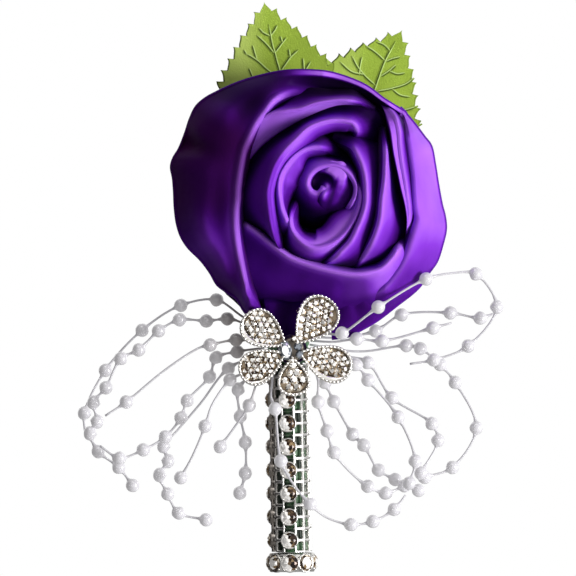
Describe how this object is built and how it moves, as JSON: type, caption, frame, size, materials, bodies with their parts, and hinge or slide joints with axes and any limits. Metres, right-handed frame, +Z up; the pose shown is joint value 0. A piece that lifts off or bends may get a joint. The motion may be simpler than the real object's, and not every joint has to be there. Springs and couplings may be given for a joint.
{
  "type": "flower brooch",
  "caption": "Satin ribbon rose brooch with two leaves, crystal flower ornament, stone-mesh stem, pearl sprays and a hinged pin with a turning catch.",
  "frame": {"origin": "middle of the rear face of the pin bar, where the brooch lies against the lapel", "axes": "+Z up as worn, towards the leaf tips; +Y out of the back, into the lapel; the flower faces -Y"},
  "size_m": [0.0939, 0.036, 0.1259],
  "materials": {
    "purple_satin": "satin ribbon",
    "leaf_cloth": "pressed matt cloth",
    "silver_plate": "bright plated",
    "crystal": "faceted, foil backed",
    "pearl": "pearl lacquer on clear line",
    "green_ribbon": "satin ribbon",
    "felt": "felt",
    "stem_rod": "plain rod",
    "pin_steel": "nickel plated"
  },
  "bodies": {
    "brooch": {"rose_base": "purple_satin", "rose_heart": "purple_satin", "bud_curl": "purple_satin", "rose_fold_1": "purple_satin", "rose_fold_2": "purple_satin", "rose_fold_3": "purple_satin", "rose_fold_4": "purple_satin", "rose_fold_5": "purple_satin", "rose_fold_6": "purple_satin", "rose_fold_7": "purple_satin", "rose_fold_8": "purple_satin", "outer_petal_right": "purple_satin", "outer_petal_left": "purple_satin", "leaf_left": "leaf_cloth", "leaf_right": "leaf_cloth", "stem_core": "stem_rod", "stem_ribbon": "green_ribbon", "mesh_sleeve": "silver_plate", "end_cap": "silver_plate", "front_stone_1": "crystal", "front_stone_2": "crystal", "front_stone_3": "crystal", "front_stone_4": "crystal", "front_stone_5": "crystal", "front_stone_6": "crystal", "front_stone_7": "crystal", "front_stone_8": "crystal", "end_stone": "crystal", "neck_binding": "green_ribbon", "ornament_pad": "felt", "jewel_setting": "silver_plate", "crystal_bed_upper_right": "crystal", "crystal_bed_upper_left": "crystal", "crystal_bed_lower_left": "crystal", "crystal_bed_bottom": "crystal", "crystal_bed_right": "crystal", "centre_stone": "crystal", "pearl_spray_left_1": "pearl", "pearl_spray_left_2": "pearl", "pearl_spray_left_3": "pearl", "pearl_spray_left_4": "pearl", "pearl_spray_left_5": "pearl", "pearl_spray_left_6": "pearl", "pearl_spray_left_7": "pearl", "pearl_spray_left_8": "pearl", "pearl_spray_front": "pearl", "pearl_spray_right_1": "pearl", "pearl_spray_right_2": "pearl", "pearl_spray_right_3": "pearl", "pearl_spray_right_4": "pearl", "pearl_spray_right_5": "pearl", "pearl_spray_right_6": "pearl", "pearl_spray_right_7": "pearl", "pearl_spray_right_8": "pearl", "felt_backing": "felt", "pin_bar": "pin_steel", "hinge_rivet": "pin_steel"},
    "needle": {"pin_needle": "pin_steel"},
    "roller": {"catch_roller": "pin_steel"}
  },
  "joints": [
    {"name": "needle_hinge", "type": "hinge", "parent": "brooch", "child": "needle", "pos_m": [-0.0126, 0.0049, 0], "axis": [0, 0, 1], "range_deg": [0, 75]},
    {"name": "catch_roll", "type": "hinge", "parent": "brooch", "child": "roller", "pos_m": [0.012, 0.0049, 0], "axis": [-1, 0, 0], "range_deg": [0, 100]}
  ]
}
